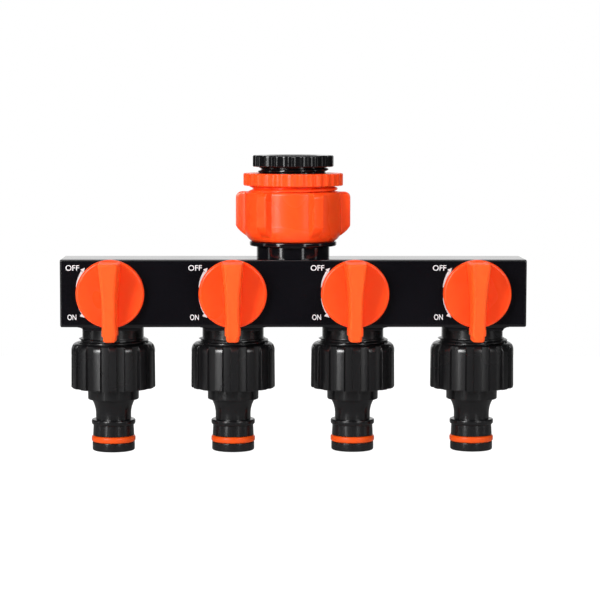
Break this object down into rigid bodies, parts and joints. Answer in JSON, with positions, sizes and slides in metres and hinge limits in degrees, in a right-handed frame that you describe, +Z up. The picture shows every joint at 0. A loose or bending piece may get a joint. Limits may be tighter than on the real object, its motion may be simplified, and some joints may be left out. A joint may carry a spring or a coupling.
{
  "type": "hose splitter",
  "caption": "Black tap manifold bar with an orange swivel inlet nut and reducer rings on top, quarter-turn lever knobs on the front and ribbed quick-connect nipples below.",
  "frame": {"origin": "on the axis of the tap inlet, at its mouth in the top of the small reducer", "axes": "+Z up out of the inlet, +X along the bar to the right as seen from the knobs, knobs on the -Y side"},
  "size_m": [0.172, 0.0516, 0.1108],
  "materials": {
    "black_gloss": "gloss",
    "black_satin": "satin",
    "orange_plastic": "satin",
    "orange_rubber": "smooth",
    "black_rubber": "matte",
    "white_acetal": "smooth"
  },
  "bodies": {
    "manifold": {"manifold_body": "black_gloss", "end_plug_left": "black_gloss", "end_plug_right": "black_gloss", "inlet_tailpiece": "black_satin", "inlet_washer": "black_rubber", "valve_housing_1": "black_satin", "valve_housing_2": "black_satin", "valve_housing_3": "black_satin", "valve_housing_4": "black_satin", "lower_seat_1": "white_acetal", "lower_seat_2": "white_acetal", "lower_seat_3": "white_acetal", "lower_seat_4": "white_acetal", "upper_seat_1": "white_acetal", "upper_seat_2": "white_acetal", "upper_seat_3": "white_acetal", "upper_seat_4": "white_acetal", "stem_seal_1": "black_rubber", "stem_seal_2": "black_rubber", "stem_seal_3": "black_rubber", "stem_seal_4": "black_rubber", "valve_bonnet_1": "black_satin", "valve_bonnet_2": "black_satin", "valve_bonnet_3": "black_satin", "valve_bonnet_4": "black_satin"},
    "swivel_nut": {"inlet_nut": "orange_plastic"},
    "large_ring_washer": {"large_reducer_washer": "black_rubber"},
    "large_ring": {"large_reducer": "orange_plastic"},
    "small_ring_washer": {"tap_washer": "black_rubber"},
    "small_ring": {"small_reducer": "black_satin"},
    "valve_1": {"knob_1": "orange_plastic", "valve_stem_1": "black_satin", "valve_ball_1": "white_acetal"},
    "outlet_washer_1": {"connector_washer_1": "black_rubber"},
    "outlet_connector_1": {"connector_1": "black_satin", "connector_oring_1": "orange_rubber"},
    "valve_2": {"knob_2": "orange_plastic", "valve_stem_2": "black_satin", "valve_ball_2": "white_acetal"},
    "outlet_washer_2": {"connector_washer_2": "black_rubber"},
    "outlet_connector_2": {"connector_2": "black_satin", "connector_oring_2": "orange_rubber"},
    "valve_3": {"knob_3": "orange_plastic", "valve_stem_3": "black_satin", "valve_ball_3": "white_acetal"},
    "outlet_washer_3": {"connector_washer_3": "black_rubber"},
    "outlet_connector_3": {"connector_3": "black_satin", "connector_oring_3": "orange_rubber"},
    "valve_4": {"knob_4": "orange_plastic", "valve_stem_4": "black_satin", "valve_ball_4": "white_acetal"},
    "outlet_washer_4": {"connector_washer_4": "black_rubber"},
    "outlet_connector_4": {"connector_4": "black_satin", "connector_oring_4": "orange_rubber"}
  },
  "joints": [
    {"name": "knob_turn_1", "type": "hinge", "parent": "manifold", "child": "valve_1", "pos_m": [-0.0675, 0, -0.0506], "axis": [0, 1, 0], "range_deg": [0, 90]},
    {"name": "knob_turn_2", "type": "hinge", "parent": "manifold", "child": "valve_2", "pos_m": [-0.0225, 0, -0.0506], "axis": [0, 1, 0], "range_deg": [0, 90]},
    {"name": "knob_turn_3", "type": "hinge", "parent": "manifold", "child": "valve_3", "pos_m": [0.0225, 0, -0.0506], "axis": [0, 1, 0], "range_deg": [0, 90]},
    {"name": "knob_turn_4", "type": "hinge", "parent": "manifold", "child": "valve_4", "pos_m": [0.0675, 0, -0.0506], "axis": [0, 1, 0], "range_deg": [0, 90]},
    {"name": "nut_swivel", "type": "hinge", "parent": "manifold", "child": "swivel_nut", "pos_m": [0, 0, -0.0228], "axis": [0, 0, 1], "continuous": true},
    {"name": "large_ring_travel", "type": "slide", "parent": "swivel_nut", "child": "large_ring_washer", "axis": [0, 0, 1], "range_m": [0, 0.007]},
    {"name": "large_ring_turn", "type": "hinge", "parent": "large_ring_washer", "child": "large_ring", "pos_m": [0, 0, -0.0135], "axis": [0, 0, 1], "range_deg": [0, 1080]},
    {"name": "small_ring_travel", "type": "slide", "parent": "large_ring", "child": "small_ring_washer", "axis": [0, 0, 1], "range_m": [0, 0.0085]},
    {"name": "small_ring_turn", "type": "hinge", "parent": "small_ring_washer", "child": "small_ring", "pos_m": [0, 0, -0.0076], "axis": [0, 0, 1], "range_deg": [0, 1620]},
    {"name": "connector_travel_1", "type": "slide", "parent": "manifold", "child": "outlet_washer_1", "axis": [0, 0, -1], "range_m": [0, 0.012]},
    {"name": "connector_turn_1", "type": "hinge", "parent": "outlet_washer_1", "child": "outlet_connector_1", "pos_m": [-0.0675, 0, -0.0785], "axis": [0, 0, -1], "range_deg": [0, 2340]},
    {"name": "connector_travel_2", "type": "slide", "parent": "manifold", "child": "outlet_washer_2", "axis": [0, 0, -1], "range_m": [0, 0.012]},
    {"name": "connector_turn_2", "type": "hinge", "parent": "outlet_washer_2", "child": "outlet_connector_2", "pos_m": [-0.0225, 0, -0.0785], "axis": [0, 0, -1], "range_deg": [0, 2340]},
    {"name": "connector_travel_3", "type": "slide", "parent": "manifold", "child": "outlet_washer_3", "axis": [0, 0, -1], "range_m": [0, 0.012]},
    {"name": "connector_turn_3", "type": "hinge", "parent": "outlet_washer_3", "child": "outlet_connector_3", "pos_m": [0.0225, 0, -0.0785], "axis": [0, 0, -1], "range_deg": [0, 2340]},
    {"name": "connector_travel_4", "type": "slide", "parent": "manifold", "child": "outlet_washer_4", "axis": [0, 0, -1], "range_m": [0, 0.012]},
    {"name": "connector_turn_4", "type": "hinge", "parent": "outlet_washer_4", "child": "outlet_connector_4", "pos_m": [0.0675, 0, -0.0785], "axis": [0, 0, -1], "range_deg": [0, 2340]}
  ],
  "couplings": [
    {"joint": "large_ring_travel", "follows": "large_ring_turn", "m_per_rad": 0.00036749},
    {"joint": "small_ring_travel", "follows": "small_ring_turn", "m_per_rad": 0.00028871},
    {"joint": "connector_travel_1", "follows": "connector_turn_1", "m_per_rad": 0.00028871},
    {"joint": "connector_travel_2", "follows": "connector_turn_2", "m_per_rad": 0.00028871},
    {"joint": "connector_travel_3", "follows": "connector_turn_3", "m_per_rad": 0.00028871},
    {"joint": "connector_travel_4", "follows": "connector_turn_4", "m_per_rad": 0.00028871}
  ]
}
